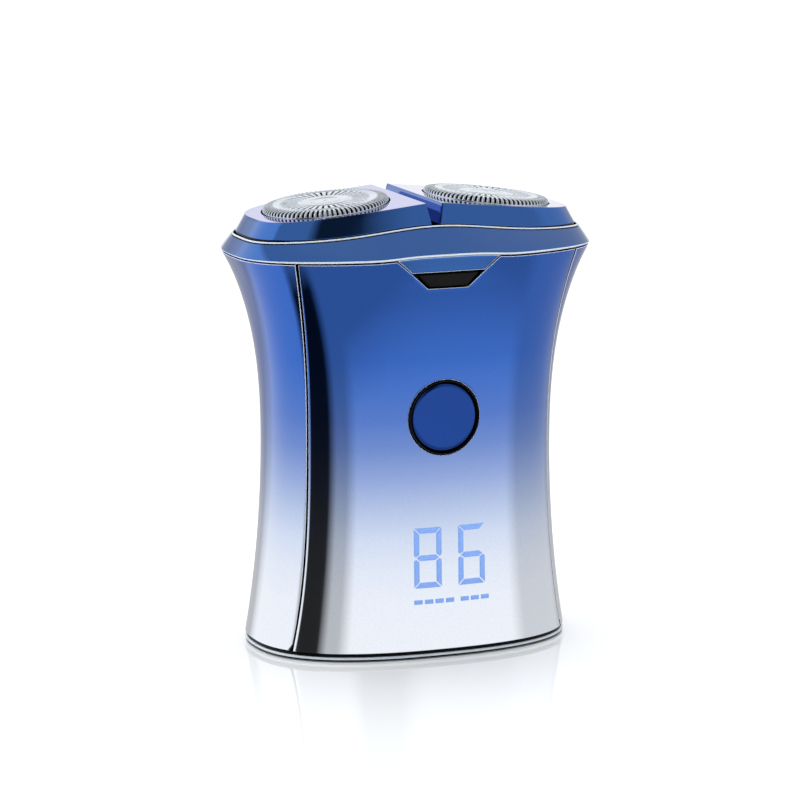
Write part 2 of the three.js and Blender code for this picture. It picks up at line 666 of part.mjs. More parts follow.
// A perforated cap: a slotted outer track, a groove, a slotted inner track and a plain middle.
function foil() {
  const underside = FOIL_HEIGHT - 0.4;
  const skirt = FOIL_RADIUS - 0.35;
  const cap = turned(
    [
      [0, underside],
      [skirt - 0.4, underside],
      [skirt, 0.6],
      [skirt, -0.9],
      [FOIL_FLANGE, -0.9],
      [FOIL_FLANGE, -0.6],
      [FOIL_RADIUS, -0.6],
      [FOIL_RADIUS, 0.8],
      [FOIL_RADIUS - 0.6, FOIL_HEIGHT],
      [7, FOIL_HEIGHT],
      [6.4, FOIL_HEIGHT - 0.2],
      [5.8, FOIL_HEIGHT],
      [0, FOIL_HEIGHT - 0.1],
    ],
    FOIL_OUTER_SLOTS,
  );
  const slots = (count, radii) =>
    Array.from({ length: count }, (_, i) =>
      box(radii, [-0.3, 0.3], [0, 3]).rotateZ(((i + 0.5) * 2 * Math.PI) / count),
    );
  return cut(
    cap,
    ...slots(FOIL_OUTER_SLOTS, [7.4, FOIL_RADIUS - 0.9]),
    ...slots(FOIL_INNER_SLOTS, [3.7, 5.4]),
  );
}

// The spinning cutter: a disc with leaning blades under the foil's tracks and a six-sided socket below.
function cutter() {
  const blades = Array.from({ length: CUTTER_BLADES }, (_, i) => {
    const blade = box([7.4, CUTTER_RADIUS - 0.1], [-0.3, 0.3], [-1.4, 1]).rotateX(-0.4);
    return blade.translate(0, 0, -0.45).rotateZ((i * 2 * Math.PI) / CUTTER_BLADES);
  });
  const innerBlades = Array.from({ length: CUTTER_BLADES / 2 }, (_, i) => {
    const blade = box([3.6, 5.3], [-0.3, 0.3], [-1.4, 1]).rotateX(-0.4);
    return blade.translate(0, 0, -0.45).rotateZ(((i + 0.5) * 4 * Math.PI) / CUTTER_BLADES);
  });
  return cut(
    join(
      bar(HUB_RADIUS, [HUB_BOTTOM, -2]),
      bar(CUTTER_RADIUS, [-2.3, -1.5], { sides: 36 }),
      ...blades,
      ...innerBlades,
    ),
    bar(SOCKET_RADIUS, [HUB_BOTTOM - 1, -2.6], { sides: 6 }),
  );
}

const cutterRetainer = () =>
  cut(bar(10.6, [-4.3, -3.3], { sides: 36 }), bar(HUB_RADIUS + 0.6, [-6, -2]), retainerWindows());

const retainerWindows = () =>
  join(...[0, 1, 2].map((i) => box([5.6, 9.2], [-2.4, 2.4], [-6, -2]).rotateZ(((i * 2 + 1) * Math.PI) / 3)));

const hingePin = () => hingeBar(HINGE.pinRadius, [-HINGE.bodyOut + 0.2, HINGE.bodyOut - 0.2], 16);

const chargingPort = () =>
  cut(portBlock(0, [PORT.low, PORT.high]), portBlock(-PORT.wall, [PORT.low - 1, PORT.high - PORT.wall]));

const portTongue = () =>
  box([-3.4, 3.4], [PORT.y - 0.35, PORT.y + 0.35], [PORT.low + 1, PORT.high - PORT.wall - GAP]);

// ---- materials ----

const finish = (color, roughness, metalness) =>
  new THREE.MeshStandardMaterial({ color, roughness, metalness });
const blueGloss = finish(0x1f4fae, 0.15, 0.7);
const silverBlueGloss = finish(0x5f86d2, 0.15, 0.7);
const blackPlastic = finish(0x15161a, 0.35, 0);
const greyPlastic = finish(0x3b3e45, 0.55, 0);
const whitePlastic = finish(0xd9dade, 0.5, 0);
const steel = finish(0xc8ccd2, 0.25, 1);
const boardGreen = finish(0x1d5a37, 0.5, 0);
const batteryWrap = finish(0x3468b8, 0.45, 0);
const rubber = finish(0x202124, 0.9, 0);

// ---- assembly ----

const shaver = new THREE.Group();

function add(name, geometry, material, parent = shaver) {
  const mesh = new THREE.Mesh(geometry, material);
  mesh.name = name;
  parent.add(mesh);
  return mesh;
}

add("front_shell", frontShell(), silverBlueGloss);
add("rear_shell", rearShell(), silverBlueGloss);
add("base_plate", basePlate(), blackPlastic);
add("chassis", chassis(), greyPlastic);
add("battery_cell", battery(), batteryWrap);
add("circuit_board", circuitBoard(), boardGreen);
add("display_module", displayModule(), whitePlastic);
add("tact_switch", tactSwitch(), blackPlastic);
add("tact_plunger", tactBar(1.2, [-14.5, -13.5]), whitePlastic);
add("power_button", powerButton(), blueGloss);
add("power_button_ring", powerButtonRing(), blackPlastic);
add("release_button", releaseButton(), blackPlastic);
add("release_spring", releaseSpring(), steel);
add("charging_port", chargingPort(), steel);
add("port_tongue", portTongue(), blackPlastic);
add("motor_can", motorCan(), steel);
add("motor_end_cap", motorEndCap(), whitePlastic);
add("motor_shaft", motorShaft(), steel);
add("drive_pinion", pinion(), whitePlastic);
add("gear_plate", gearPlate(), greyPlastic);
add("top_deck", topDeck(), blackPlastic);
add("hinge_pin", hingePin(), steel);
add("head_frame", headFrame(), blueGloss);
add("cutter_carrier", cutterCarrier(), blackPlastic);

deckScrewPlaces().forEach(({ x, y }, i) => {
  const screwMesh = add(`deck_screw_${i + 1}`, screw(DECK_SCREW.radius, DECK_SCREW.headRadius, 0.7, 6), steel);
  screwMesh.rotation.x = Math.PI;
  screwMesh.position.set(x, y, DECK_Z[1]);
});

carrierScrewPlaces().forEach(({ x, y }, i) => {
  const geometry = screw(CARRIER_SCREW.radius, CARRIER_SCREW.headRadius, 0.6, 2.8);
  add(`carrier_screw_${i + 1}`, geometry, steel).position.set(x, y, CARRIER_Z[0] - 0.3);
});

SIDES.forEach(([name, side]) => {
  const drive = new THREE.Group();
  drive.position.x = side * DRIVE_X;
  shaver.add(drive);
  add(`drive_gear_${name}`, drivenGear(), whitePlastic, drive);
  add(`drive_spindle_${name}`, spindle(), whitePlastic, drive);
  add(`spindle_seal_${name}`, spindleSeal(), rubber, drive);

  const pod = new THREE.Group();
  pod.position.set(side * FOIL_X, 0, podTopZ(0)(FOIL_X));
  pod.rotation.y = side * TILT;
  shaver.add(pod);
  add(`foil_${name}`, foil(), steel, pod);
  add(`cutter_${name}`, cutter(), steel, pod);
  add(`cutter_retainer_${name}`, cutterRetainer(), greyPlastic, pod);

  add(`pod_cover_${name}`, podCover(side), blueGloss);
  add(`pod_pivot_pin_${name}`, pivotBar(POD_PIVOT.pinRadius, side, 9.6), steel);
  add(`base_screw_${name}`, screw(0.7, 1.6, 0.5, 4.6), steel).position.set(side * BASE_SCREW_X, 0, 0.2);

  const podSpring = add(`pod_spring_${name}`, spring(1.3, 0.3, 1.4, 2), steel);
  podSpring.position.set(side * 23.5, 0, CARRIER_Z[1] + 0.1);
});

export default shaver;
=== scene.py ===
"""Looks of the pocket rotary shaver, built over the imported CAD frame. Lengths below are in millimetres."""

import json
import math

import bmesh
import bpy
from mathutils import Matrix, Vector


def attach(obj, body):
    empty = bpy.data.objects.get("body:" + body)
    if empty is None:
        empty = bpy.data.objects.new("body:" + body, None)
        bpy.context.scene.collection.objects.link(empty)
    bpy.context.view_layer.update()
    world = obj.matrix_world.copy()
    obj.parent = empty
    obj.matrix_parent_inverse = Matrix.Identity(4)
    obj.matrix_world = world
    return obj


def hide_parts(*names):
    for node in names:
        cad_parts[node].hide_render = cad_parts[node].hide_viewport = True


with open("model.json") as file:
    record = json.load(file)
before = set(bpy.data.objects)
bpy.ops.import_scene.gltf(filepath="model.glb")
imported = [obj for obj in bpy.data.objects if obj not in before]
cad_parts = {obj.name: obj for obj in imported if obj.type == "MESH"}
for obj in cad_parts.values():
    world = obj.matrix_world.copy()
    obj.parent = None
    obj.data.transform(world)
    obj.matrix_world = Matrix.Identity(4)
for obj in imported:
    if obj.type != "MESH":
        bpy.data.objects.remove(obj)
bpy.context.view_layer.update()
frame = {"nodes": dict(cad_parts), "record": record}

MM = 0.001

# ---- the body's outline, as in the CAD part ----

BASE = (0.0, 28.0, 18.45, -0.182, -0.071)
WAIST = (35.1, 24.8, 17.2, 0.0, 0.0)
RIM = (67.9, 31.6, 19.35, 0.543, 0.164)
SHELL_BOTTOM = 1.45
SHELL_TOP = 67.75
WALL = 1.6
NOTCH_FOOT = 63.1
NOTCH_HALF_FOOT = 3.6
NOTCH_HALF_TOP = 9.5
TONGUE_FOOT = 65.9
BUTTON_Z = 41.0
BUTTON_HOLE = 6.45
HEAD_BOTTOM = 68.05
HINGE_Y = 20.6
HINGE_Z = 67.9
HINGE_RADIUS = 1.9
POD_CREST = 76.6
POD_SLOPE = 0.105
TILT = math.atan(POD_SLOPE)
FOIL_X = 14.6
FOIL_Z = POD_CREST - POD_SLOPE * FOIL_X
FOIL_BORE = 10.95


def eased(low, high, z, column, slope):
    span = high[0] - low[0]
    t = (z - low[0]) / span
    value = low[column] + (high[column] - low[column]) * t * t * (3 - 2 * t)
    return value + t * (1 - t) ** 2 * span * low[slope] + t * t * (t - 1) * span * high[slope]


def half_width(z):
    return eased(BASE, WAIST, z, 1, 3) if z < WAIST[0] else eased(WAIST, RIM, z, 1, 3)


def half_depth(z):
    return eased(BASE, WAIST, z, 2, 4) if z < WAIST[0] else eased(WAIST, RIM, z, 2, 4)


def squareness(z):
    return 2.45 + 0.2 * z / 67.9


def seam_y(z):
    return -10.305 - 0.05447 * z + 0.0031335 * z**2 - 4.7123e-5 * z**3


def notch_half(z):
    return NOTCH_HALF_FOOT + (NOTCH_HALF_TOP - NOTCH_HALF_FOOT) * (z - NOTCH_FOOT) / (67.9 - NOTCH_FOOT)


def power(value, exponent):
    return math.copysign(abs(value) ** exponent, value)


def squircle(a, b, n, phi):
    """A point of a superellipse: phi is 0 at the front middle and turns towards +X."""
    return a * power(math.sin(phi), 2 / n), -b * power(math.cos(phi), 2 / n)


def phi_at_x(x, a, n):
    return math.asin(min(1.0, (abs(x) / a) ** (n / 2)))


def phi_at_y(y, b, n):
    return math.acos(min(1.0, (abs(y) / b) ** (n / 2)))


def resampled(points, count):
    """count + 1 points at equal steps along a polyline."""
    lengths = [0.0]
    for p, q in zip(points, points[1:]):
        lengths.append(lengths[-1] + math.dist(p, q))
    out = []
    j = 0
    for i in range(count + 1):
        want = lengths[-1] * i / count
        while j < len(points) - 2 and lengths[j + 1] < want:
            j += 1
        step = lengths[j + 1] - lengths[j]
        t = (want - lengths[j]) / step if step > 0 else 0.0
        t = min(1.0, max(0.0, t))
        out.append(tuple(p + (q - p) * t for p, q in zip(points[j], points[j + 1])))
    return out


def arc(a, b, n, start, end, count, fine=600):
    dense = [squircle(a, b, n, start + (end - start) * i / fine) for i in range(fine + 1)]
    return resampled(dense, count)


def spaced(low, high, count):
    return [low + (high - low) * i / count for i in range(count + 1)]


def front_y(x, z, inset=0.0):
    a, b, n = half_width(z) - inset, half_depth(z) - inset, squareness(z)
    return -b * (1 - min(1.0, abs(x) / a) ** n) ** (1 / n)


def rim_bump(x):
    return 0.5 * math.exp(-((x / 9.5) ** 4))


def end_drop(x):
    """The rim and the head's ledge dip a little towards the two ends."""
    return (abs(x) / 31.6) ** 6


# ---- mesh helpers ----


def grid_faces(rows, columns, start=0, closed=False):
    """Quads of a grid whose points are stored row by row."""
    faces = []
    for r in range(rows - 1):
        for c in range(columns if closed else columns - 1):
            d = (c + 1) % columns
            faces.append(tuple(start + i for i in (r * columns + c, r * columns + d, (r + 1) * columns + d, (r + 1) * columns + c)))
    return faces


class Sheet:
    """Patches of quads that are welded into one mesh."""

    def __init__(self):
        self.points = []
        self.faces = []

    def patch(self, rows, closed=False):
        start = len(self.points)
        columns = len(rows[0])
        for row in rows:
            self.points.extend(row)
        self.faces.extend(grid_faces(len(rows), columns, start, closed))

    def face(self, points):
        start = len(self.points)
        self.points.extend(points)
        self.faces.append(tuple(range(start, start + len(points))))

    def build(self, name, outward=None, weld=0.004):
        mesh = bpy.data.meshes.new(name)
        mesh.from_pydata([(x * MM, y * MM, z * MM) for x, y, z in self.points], [], self.faces)
        bm = bmesh.new()
        bm.from_mesh(mesh)
        bmesh.ops.remove_doubles(bm, verts=bm.verts, dist=weld * MM)
        bmesh.ops.recalc_face_normals(bm, faces=bm.faces)
        bm.normal_update()
        if outward is not None:
            centre = Vector(outward) * MM
            lean = sum((f.calc_center_median() - centre).dot(f.normal) * f.calc_area() for f in bm.faces)
            if lean < 0:
                bmesh.ops.reverse_faces(bm, faces=bm.faces)
        for f in bm.faces:
            f.smooth = True
        bm.to_mesh(mesh)
        bm.free()
        obj = bpy.data.objects.new(name, mesh)
        bpy.context.scene.collection.objects.link(obj)
        return obj


def solidify(obj, thickness):
    m = obj.modifiers.new("wall", "SOLIDIFY")
    m.thickness = thickness * MM
    m.offset = -1
    m.use_even_offset = True
    return obj


def bevel(obj, width, segments=2, angle=35, edge=None):
    """Rounds the sharp edges; edge names the material that the rounded band takes."""
    m = obj.modifiers.new("edge", "BEVEL")
    if edge:
        obj["edge_material"] = edge
        m.material = 1
    m.width = width * MM
    m.segments = segments
    m.limit_method = "ANGLE"
    m.angle_limit = math.radians(angle)
    m.harden_normals = False
    m.use_clamp_overlap = True
    w = obj.modifiers.new("normals", "WEIGHTED_NORMAL")
    w.keep_sharp = False
    w.weight = 80
    return obj


def baked(obj):
    """The object's modifiers, applied to its mesh."""
    bpy.context.view_layer.update()
    evaluated = obj.evaluated_get(bpy.context.evaluated_depsgraph_get())
    mesh = bpy.data.meshes.new_from_object(evaluated)
    obj.modifiers.clear()
    obj.data = mesh
    return obj


def cut_away(obj, *cutters):
    for cutter in cutters:
        m = obj.modifiers.new("cut", "BOOLEAN")
        m.object = cutter
        m.operation = "DIFFERENCE"
        m.solver = "EXACT"
    baked(obj)
    for cutter in cutters:
        bpy.data.objects.remove(cutter)
    for p in obj.data.polygons:
        p.use_smooth = True
    return obj


def prism_x(name, outline, low, high):
    """A solid with a (Y, Z) outline, from X low to X high."""
    sheet = Sheet()
    ring = outline + outline[:1]
    sheet.patch([[(x, y, z) for y, z in ring] for x in (low, high)])
    for x in (low, high):
        sheet.face([(x, y, z) for y, z in outline])
    return sheet.build(name, outward=((low + high) / 2, sum(p[0] for p in outline) / len(outline), sum(p[1] for p in outline) / len(outline)))


def hull(points):
    points = sorted(set(points))

    def half(chain):
        out = []
        for p in chain:
            while len(out) > 1 and (out[-1][0] - out[-2][0]) * (p[1] - out[-2][1]) <= (out[-1][1] - out[-2][1]) * (p[0] - out[-2][0]):
                out.pop()
            out.append(p)
        return out[:-1]

    return half(points) + half(points[::-1])


def circle(y, z, radius, count):
    return [(y + radius * math.cos(2 * math.pi * i / count), z + radius * math.sin(2 * math.pi * i / count)) for i in range(count)]


def lathe(profile, segments, name, place):
    """A profile of (radius, height) turned about its own axis and moved by the matrix place."""
    sheet = Sheet()
    rows = []
    for r, h in profile:
        rows.append([(max(r, 1e-5) * math.cos(2 * math.pi * i / segments), max(r, 1e-5) * math.sin(2 * math.pi * i / segments), h) for i in range(segments)])
    sheet.patch(rows, closed=True)
    sheet.points = [tuple(place @ Vector(p)) for p in sheet.points]
    return sheet.build(name, weld=0.002)


# ---- materials ----


def new_material(name):
    m = bpy.data.materials.new(name)
    m.use_nodes = True
    tree = m.node_tree
    return m, tree, tree.nodes["Principled BSDF"]


def node(tree, kind, **values):
    n = tree.nodes.new(kind)
    for key, value in values.items():
        setattr(n, key, value)
    return n


def put(tree, target, value):
    if hasattr(value, "is_output"):
        tree.links.new(value, target)
    else:
        target.default_value = value


def noise(tree, scale, detail=3.0, stretch=(1, 1, 1), rough=0.5):
    """Noise over the object's own coordinates; scale counts features per metre."""
    coord = node(tree, "ShaderNodeTexCoord")
    mapping = node(tree, "ShaderNodeMapping")
    mapping.inputs["Scale"].default_value = stretch
    tree.links.new(coord.outputs["Object"], mapping.inputs["Vector"])
    n = node(tree, "ShaderNodeTexNoise")
    n.inputs["Scale"].default_value = scale
    n.inputs["Detail"].default_value = detail
    n.inputs["Roughness"].default_value = rough
    tree.links.new(mapping.outputs["Vector"], n.inputs["Vector"])
    return n.outputs["Fac"]


def ranged(tree, value, low, high, from_low=0.3, from_high=0.7):
    m = node(tree, "ShaderNodeMapRange")
    put(tree, m.inputs["Value"], value)
    m.inputs["From Min"].default_value = from_low
    m.inputs["From Max"].default_value = from_high
    m.inputs["To Min"].default_value = low
    m.inputs["To Max"].default_value = high
    return m.outputs["Result"]


def math_node(tree, operation, a, b=0.0):
    m = node(tree, "ShaderNodeMath", operation=operation)
    put(tree, m.inputs[0], a)
    put(tree, m.inputs[1], b)
    return m.outputs[0]


def ramp(tree, value, stops, interpolation="LINEAR"):
    n = node(tree, "ShaderNodeValToRGB")
    n.color_ramp.interpolation = interpolation
    elements = n.color_ramp.elements
    while len(elements) < len(stops):
        elements.new(0.5)
    for e, (position, color) in zip(elements, stops):
        e.position = position
    for e, (position, color) in zip(elements, stops):
        e.color = (*color, 1) if isinstance(color, tuple) else (color, color, color, 1)
    tree.links.new(value, n.inputs["Fac"])
    return n.outputs["Color"]


def mixed(tree, factor, a, b, blend="MIX"):
    m = node(tree, "ShaderNodeMix", data_type="RGBA", blend_type=blend)
    put(tree, m.inputs[0], factor)
    put(tree, m.inputs[6], (*a, 1) if isinstance(a, tuple) else a)
    put(tree, m.inputs[7], (*b, 1) if isinstance(b, tuple) else b)
    return m.outputs[2]


def bumped(tree, bsdf, height, distance, strength=1.0):
    b = node(tree, "ShaderNodeBump")
    b.inputs["Strength"].default_value = strength
    b.inputs["Distance"].default_value = distance * MM
    tree.links.new(height, b.inputs["Height"])
    tree.links.new(b.outputs["Normal"], bsdf.inputs["Normal"])
    return b


def finish_of(name, dark, light, metallic, rough, scale, bump, stretch=(1, 1, 1), coat=0.0, coat_rough=0.05, ior=1.5):
    """A finish whose colour drifts between two tones, with its own fine roughness and bump."""
    m, tree, bsdf = new_material(name)
    bsdf.inputs["Metallic"].default_value = metallic
    bsdf.inputs["IOR"].default_value = ior
    bsdf.inputs["Coat Weight"].default_value = coat
    bsdf.inputs["Coat Roughness"].default_value = coat_rough
    tone = ranged(tree, noise(tree, scale * 0.2, 4, stretch), 0.0, 1.0)
    tree.links.new(mixed(tree, tone, dark, light), bsdf.inputs["Base Color"])
    grain = noise(tree, scale, 4, stretch, 0.6)
    tree.links.new(ranged(tree, grain, *rough), bsdf.inputs["Roughness"])
    bumped(tree, bsdf, grain, bump)
    return m


def object_z(tree):
    coord = node(tree, "ShaderNodeTexCoord")
    split = node(tree, "ShaderNodeSeparateXYZ")
    tree.links.new(coord.outputs["Object"], split.inputs[0])
    return math_node(tree, "DIVIDE", split.outputs[2], 70 * MM)


TOP_BLUE = (0.015, 0.117, 0.54)
SHELL_STOPS = [
    (0.0, (0.86, 0.9, 0.975)),
    (10.0, (0.835, 0.88, 0.967)),
    (15.5, (0.765, 0.825, 0.95)),
    (20.6, (0.647, 0.73, 0.91)),
    (26.0, (0.446, 0.549, 0.8)),
    (31.0, (0.278, 0.385, 0.716)),
    (36.0, (0.147, 0.256, 0.625)),
    (41.0, (0.075, 0.181, 0.59)),
    (46.0, (0.041, 0.153, 0.575)),
    (51.0, (0.019, 0.126, 0.56)),
    (60.0, TOP_BLUE),
    (70.0, TOP_BLUE),
]


def plated(name, stops=None, color=TOP_BLUE, rough=(0.065, 0.09), coat=1.0):
    """Blue to silver plating under clear lacquer."""
    m, tree, bsdf = new_material(name)
    bsdf.inputs["Metallic"].default_value = 1.0
    bsdf.inputs["Coat Weight"].default_value = coat
    bsdf.inputs["Coat Roughness"].default_value = 0.03
    bsdf.inputs["Coat IOR"].default_value = 1.5
    if stops:
        tone = ramp(tree, object_z(tree), [(z / 70, c) for z, c in stops])
    else:
        tone = mixed(tree, ranged(tree, noise(tree, 60, 2), 0.0, 1.0), tuple(c * 0.93 for c in color), color)
    fleck = ranged(tree, noise(tree, 2600, 2), 0.0, 1.0)
    shade = mixed(tree, fleck, (0.965, 0.965, 0.97), (1.0, 1.0, 1.0))
    tree.links.new(mixed(tree, 1.0, tone, shade, "MULTIPLY"), bsdf.inputs["Base Color"])
    tree.links.new(ranged(tree, noise(tree, 160, 3), *rough), bsdf.inputs["Roughness"])
    bumped(tree, bsdf, noise(tree, 420, 2), 0.0006)
    return m


def pod_finish():
    """Mirror blue walls; the flat top is painted a paler lavender, a painted reflection of the bright room on it."""
    m = plated("pod_blue", color=(0.02, 0.15, 0.56), rough=(0.05, 0.07))
    tree = m.node_tree
    bsdf = tree.nodes["Principled BSDF"]
    wall = bsdf.inputs["Base Color"].links[0].from_socket
    coord = node(tree, "ShaderNodeTexCoord")
    split = node(tree, "ShaderNodeSeparateXYZ")
    tree.links.new(coord.outputs["Object"], split.inputs[0])
    slope = math_node(tree, "MULTIPLY", math_node(tree, "ABSOLUTE", split.outputs[0]), POD_SLOPE)
    level = math_node(tree, "ADD", split.outputs[2], slope)
    # Painted reflection: faces at the top plane's level take a paler lavender colour in place of the reflection they
    # would show.
    top = ranged(tree, level, 0, 1, 76.53 * MM, 76.57 * MM)
    tree.links.new(mixed(tree, top, wall, (0.2, 0.22, 0.72)), bsdf.inputs["Base Color"])
    return m


materials = {
    "shell_gradient": plated("shell_gradient", SHELL_STOPS, coat=0.7),
    "head_blue": plated("head_blue", color=(0.02, 0.15, 0.56), rough=(0.05, 0.07)),
    "pod_blue": pod_finish(),
    # This pale finish for bevels, lips and beads is a painted highlight: it stands in for the light the edges catch.
    "painted_edge_highlight": finish_of("painted_edge_highlight", (0.76, 0.84, 0.95), (0.8, 0.88, 0.98), 0.0, (0.2, 0.3), 900, 0.0003, coat=0.5),
    "button_blue": plated("button_blue", color=(0.012, 0.062, 0.32), rough=(0.1, 0.16), coat=0.2),
    "black_gloss": finish_of("black_gloss", (0.002, 0.002, 0.003), (0.005, 0.005, 0.006), 0.0, (0.06, 0.1), 900, 0.0004, ior=1.22),
    "black_plastic": finish_of("black_plastic", (0.010, 0.010, 0.012), (0.016, 0.016, 0.019), 0.0, (0.38, 0.55), 2400, 0.006),
    "grey_plastic": finish_of("grey_plastic", (0.19, 0.2, 0.22), (0.25, 0.26, 0.28), 0.0, (0.4, 0.55), 2400, 0.005),
    "white_plastic": finish_of("white_plastic", (0.7, 0.7, 0.68), (0.78, 0.78, 0.76), 0.0, (0.35, 0.5), 2000, 0.004),
    "foil_steel": finish_of("foil_steel", (0.62, 0.69, 0.78), (0.76, 0.83, 0.92), 1.0, (0.12, 0.22), 1500, 0.001),
    "cutter_steel": finish_of("cutter_steel", (0.02, 0.02, 0.025), (0.05, 0.05, 0.06), 1.0, (0.22, 0.36), 1800, 0.002, (1, 1, 6)),
    "plain_steel": finish_of("plain_steel", (0.5, 0.5, 0.52), (0.62, 0.62, 0.64), 1.0, (0.22, 0.38), 1600, 0.002, (1, 1, 5)),
    "spring_steel": finish_of("spring_steel", (0.42, 0.42, 0.44), (0.55, 0.55, 0.57), 1.0, (0.25, 0.4), 3000, 0.001),
    "seal_rubber": finish_of("seal_rubber", (0.02, 0.02, 0.022), (0.035, 0.035, 0.037), 0.0, (0.6, 0.8), 2600, 0.008),
    "board_green": finish_of("board_green", (0.008, 0.09, 0.03), (0.015, 0.13, 0.05), 0.0, (0.3, 0.45), 1200, 0.003, coat=0.3),
    "cell_wrap": finish_of("cell_wrap", (0.02, 0.12, 0.26), (0.03, 0.15, 0.32), 0.0, (0.25, 0.35), 500, 0.002),
}


def display_material():
    """The lit segments: pale blue with a faint glow and a fine printed grain."""
    m, tree, bsdf = new_material("display_lit")
    tone = ranged(tree, noise(tree, 3000, 2), 0.0, 1.0)
    color = mixed(tree, tone, (0.21, 0.37, 0.80), (0.24, 0.40, 0.83))
    tree.links.new(color, bsdf.inputs["Base Color"])
    tree.links.new(color, bsdf.inputs["Emission Color"])
    bsdf.inputs["Emission Strength"].default_value = 0.35
    bsdf.inputs["Specular IOR Level"].default_value = 0.2
    tree.links.new(ranged(tree, tone, 0.4, 0.55, 0, 1), bsdf.inputs["Roughness"])
    return m


materials["display_lit"] = display_material()


def dress(obj, material, body, replaces=()):
    obj.data.materials.append(materials[material])
    if "edge_material" in obj:
        obj.data.materials.append(materials[obj["edge_material"]])
        del obj["edge_material"]
    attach(obj, body)
    if replaces:
        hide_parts(*replaces)
    return obj


def painted(obj, finishes, choose):
    """Bakes the object and gives each face the finish that choose picks from its place and index."""
    for name in finishes:
        obj.data.materials.append(materials[name])
    baked(obj)
    for p in obj.data.polygons:
        p.material_index = choose(*(v / MM for v in p.center), p.material_index)
    return obj


# ---- shells ----

LEVELS = [SHELL_BOTTOM] + spaced(SHELL_BOTTOM + 0.24, 31, 34) + spaced(31, 51, 24)[1:] + spaced(51, NOTCH_FOOT, 14)[1:] + spaced(NOTCH_FOOT, SHELL_TOP - 0.24, 7)[1:] + [SHELL_TOP]
WING = 8
MIDDLE = 9
SIDE_COLUMNS = 30


def raised(x, y, z):
    """The rim line rises a little towards the latch and dips at the ends."""
    t = max(0.0, (z - NOTCH_FOOT) / (SHELL_TOP - NOTCH_FOOT))
    return x, y, z + (rim_bump(x) * (y < 0) - 0.4 * end_drop(x)) * t


def front_point(x, z):
    return raised(x, front_y(x, z), z)


def front_skin():
    sheet = Sheet()
    for side in (-1, 1):
        rows = []
        for z in LEVELS:
            a, b, n = half_width(z), half_depth(z), squareness(z)
            seam = phi_at_y(seam_y(z) - 0.15, b, n)
            row = arc(a, b, n, seam, phi_at_x(10, a, n), SIDE_COLUMNS)
            row[-1] = (10.0, front_y(10, z))
            rows.append([raised(side * x, y, z) for x, y in row])
        sheet.patch(rows)
    xs = spaced(-10, -NOTCH_HALF_FOOT, WING) + spaced(-NOTCH_HALF_FOOT, NOTCH_HALF_FOOT, MIDDLE)[1:] + spaced(NOTCH_HALF_FOOT, 10, WING)[1:]
    low_rows = [z for z in LEVELS if z < 31.001]
    high_rows = [z for z in LEVELS if 50.999 < z < NOTCH_FOOT + 0.001]
    for rows in (low_rows, high_rows):
        sheet.patch([[front_point(x, z) for x in xs] for z in rows])
    square_rows = [z for z in LEVELS if 30.999 < z < 51.001]
    border = [(x, 31.0) for x in xs]
    border += [(10.0, z) for z in square_rows[1:]]
    border += [(x, 51.0) for x in xs[::-1][1:]]
    border += [(-10.0, z) for z in square_rows[::-1][1:-1]]
    rings = []
    for t in (0, 0.25, 0.5, 0.7, 0.85, 0.94, 1):
        ring = []
        for x, z in border:
            angle = math.atan2(z - BUTTON_Z, x)
            cx, cz = BUTTON_HOLE * math.cos(angle), BUTTON_Z + BUTTON_HOLE * math.sin(angle)
            ring.append(front_point(x + (cx - x) * t, z + (cz - z) * t))
        rings.append(ring)
    sheet.patch(rings, closed=True)
    wing_rows = [z for z in LEVELS if z > NOTCH_FOOT - 0.001]
    for side in (-1, 1):
        sheet.patch([[front_point(side * (10 + (notch_half(z) - 10) * i / WING), z) for i in range(WING + 1)] for z in wing_rows])
    # The front shell's bevelled edges take the pale finish: a painted highlight.
    return bevel(solidify(sheet.build("front_shell_skin", outward=(0, 0, 35)), WALL), 0.17, edge="painted_edge_highlight")


def rear_skin():
    rows = []
    for z in LEVELS:
        a, b, n = half_width(z), half_depth(z), squareness(z)
        seam = phi_at_y(seam_y(z) + 0.15, b, n)
        rows.append([raised(x, y, z) for x, y in arc(a, b, n, seam, 2 * math.pi - seam, 110)])
    sheet = Sheet()
    sheet.patch(rows)
    # The rear shell's bevelled edges take the pale finish: a painted highlight.
    return bevel(solidify(sheet.build("rear_shell_skin", outward=(0, 0, 35)), WALL), 0.09, edge="painted_edge_highlight")


